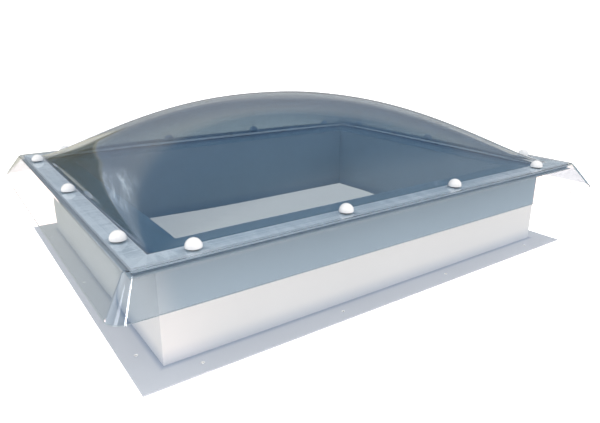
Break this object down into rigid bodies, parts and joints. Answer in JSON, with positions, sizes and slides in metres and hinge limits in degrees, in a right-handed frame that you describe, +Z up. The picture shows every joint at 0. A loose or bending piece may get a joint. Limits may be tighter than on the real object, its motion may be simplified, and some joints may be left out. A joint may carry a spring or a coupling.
{
  "type": "roof skylight",
  "caption": "Rectangular roof skylight: clear double-skin dome with a drip skirt, screwed to a white vertical upstand kerb on a flat fixing flange.",
  "frame": {"origin": "centre of the roof opening in plan, on the underside of the base flange", "axes": "+X along the long sides, +Y along the short sides, +Z up out of the roof"},
  "size_m": [1.6208, 1.3208, 0.5026],
  "materials": {
    "flange_grey": "satin pale grey PVC plate",
    "kerb_white": "satin white PVC-U profile",
    "seal_foam": "dark compressed foam seal",
    "inner_skin": "clear moulded sheet with a faint blue tint",
    "ring_grey": "satin pale PVC frame",
    "outer_skin": "clear moulded sheet with a faint blue tint",
    "washer_rubber": "black rubber sealing washer",
    "cap_white": "gloss white moulded cap",
    "screw_steel": "zinc plated steel"
  },
  "bodies": {
    "root": {"base_flange": "flange_grey", "kerb": "kerb_white", "kerb_gasket": "seal_foam", "inner_dome": "inner_skin", "spacer_ring": "ring_grey", "outer_dome": "outer_skin", "seal_washers": "washer_rubber", "cap_bases": "cap_white", "dome_screws": "screw_steel", "screw_caps": "cap_white"}
  },
  "joints": []
}
